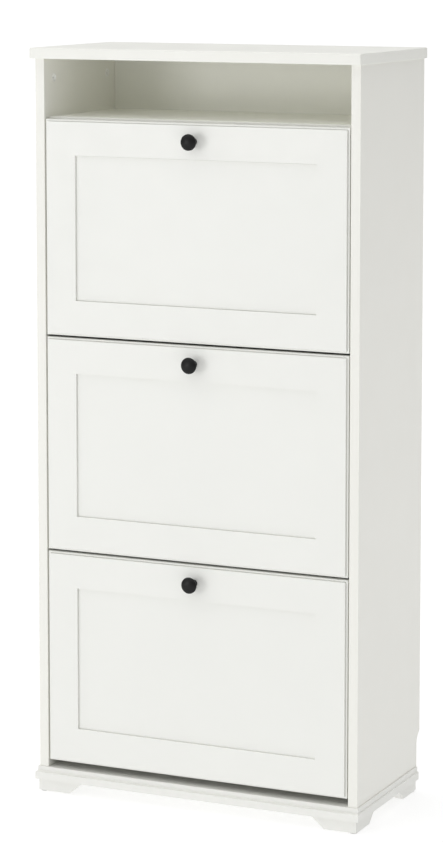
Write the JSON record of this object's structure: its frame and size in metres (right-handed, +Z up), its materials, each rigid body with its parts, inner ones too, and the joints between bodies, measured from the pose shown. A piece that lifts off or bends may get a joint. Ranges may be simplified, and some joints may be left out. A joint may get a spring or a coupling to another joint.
{
  "type": "shoe cabinet",
  "caption": "Tall narrow shoe cabinet with stacked tip-out fronts, round black knobs, an open niche under the top and bracket feet.",
  "frame": {"origin": "on the floor, under the middle of the whole cabinet's box, knobs included", "axes": "+Z up; -Y is the side with the fronts and knobs, +Y the wall side; +X to the right of someone who faces the fronts"},
  "size_m": [0.61, 0.315, 1.3],
  "materials": {
    "white_paint": "fibreboard with a satin off-white paint",
    "white_foil": "particleboard with a matt off-white foil",
    "white_hardboard": "thin hardboard, painted off-white",
    "white_plastic": "moulded, fine matt texture",
    "glide_plastic": "moulded grey plastic",
    "black_metal": "black powder coat, satin",
    "zinc_steel": "bright zinc plated",
    "cam_zinc": "die-cast, dull",
    "beech": "fluted hardwood, unfinished"
  },
  "bodies": {
    "case": {"top_panel": "white_paint", "bottom_panel": "white_paint", "left_side": "white_paint", "right_side": "white_paint", "niche_shelf": "white_foil", "niche_back": "white_foil", "wall_rail": "white_foil", "middle_rail": "white_foil", "lower_rail": "white_foil", "base_rail": "white_foil", "back_panel": "white_hardboard", "back_panel_nails": "zinc_steel", "foot_front_left": "white_paint", "foot_front_right": "white_paint", "foot_rear_left": "white_paint", "foot_rear_right": "white_paint", "foot_screws": "zinc_steel", "foot_glides": "glide_plastic", "cam_locks": "cam_zinc", "cam_bolts": "zinc_steel", "dowels": "beech", "pivot_bushes": "glide_plastic", "stop_pegs": "zinc_steel"},
    "bottom_flap": {"bottom_front": "white_paint", "bottom_knob": "black_metal", "bottom_knob_screw": "zinc_steel", "bottom_cheek_left": "white_plastic", "bottom_cheek_right": "white_plastic", "bottom_front_tray": "white_plastic", "bottom_rear_tray": "white_plastic", "bottom_pivot_pins": "zinc_steel", "bottom_cheek_screws": "zinc_steel", "bottom_tray_screws": "zinc_steel"},
    "middle_flap": {"middle_front": "white_paint", "middle_knob": "black_metal", "middle_knob_screw": "zinc_steel", "middle_cheek_left": "white_plastic", "middle_cheek_right": "white_plastic", "middle_front_tray": "white_plastic", "middle_rear_tray": "white_plastic", "middle_pivot_pins": "zinc_steel", "middle_cheek_screws": "zinc_steel", "middle_tray_screws": "zinc_steel"},
    "top_flap": {"top_front": "white_paint", "top_knob": "black_metal", "top_knob_screw": "zinc_steel", "top_cheek_left": "white_plastic", "top_cheek_right": "white_plastic", "top_front_tray": "white_plastic", "top_rear_tray": "white_plastic", "top_pivot_pins": "zinc_steel", "top_cheek_screws": "zinc_steel", "top_tray_screws": "zinc_steel"}
  },
  "joints": [
    {"name": "bottom_flap_tilt", "type": "hinge", "parent": "case", "child": "bottom_flap", "pos_m": [0, -0.1083, 0.1275], "axis": [1, 0, 0], "range_deg": [0, 48]},
    {"name": "middle_flap_tilt", "type": "hinge", "parent": "case", "child": "middle_flap", "pos_m": [0, -0.1083, 0.5025], "axis": [1, 0, 0], "range_deg": [0, 48]},
    {"name": "top_flap_tilt", "type": "hinge", "parent": "case", "child": "top_flap", "pos_m": [0, -0.1083, 0.8775], "axis": [1, 0, 0], "range_deg": [0, 48]}
  ]
}
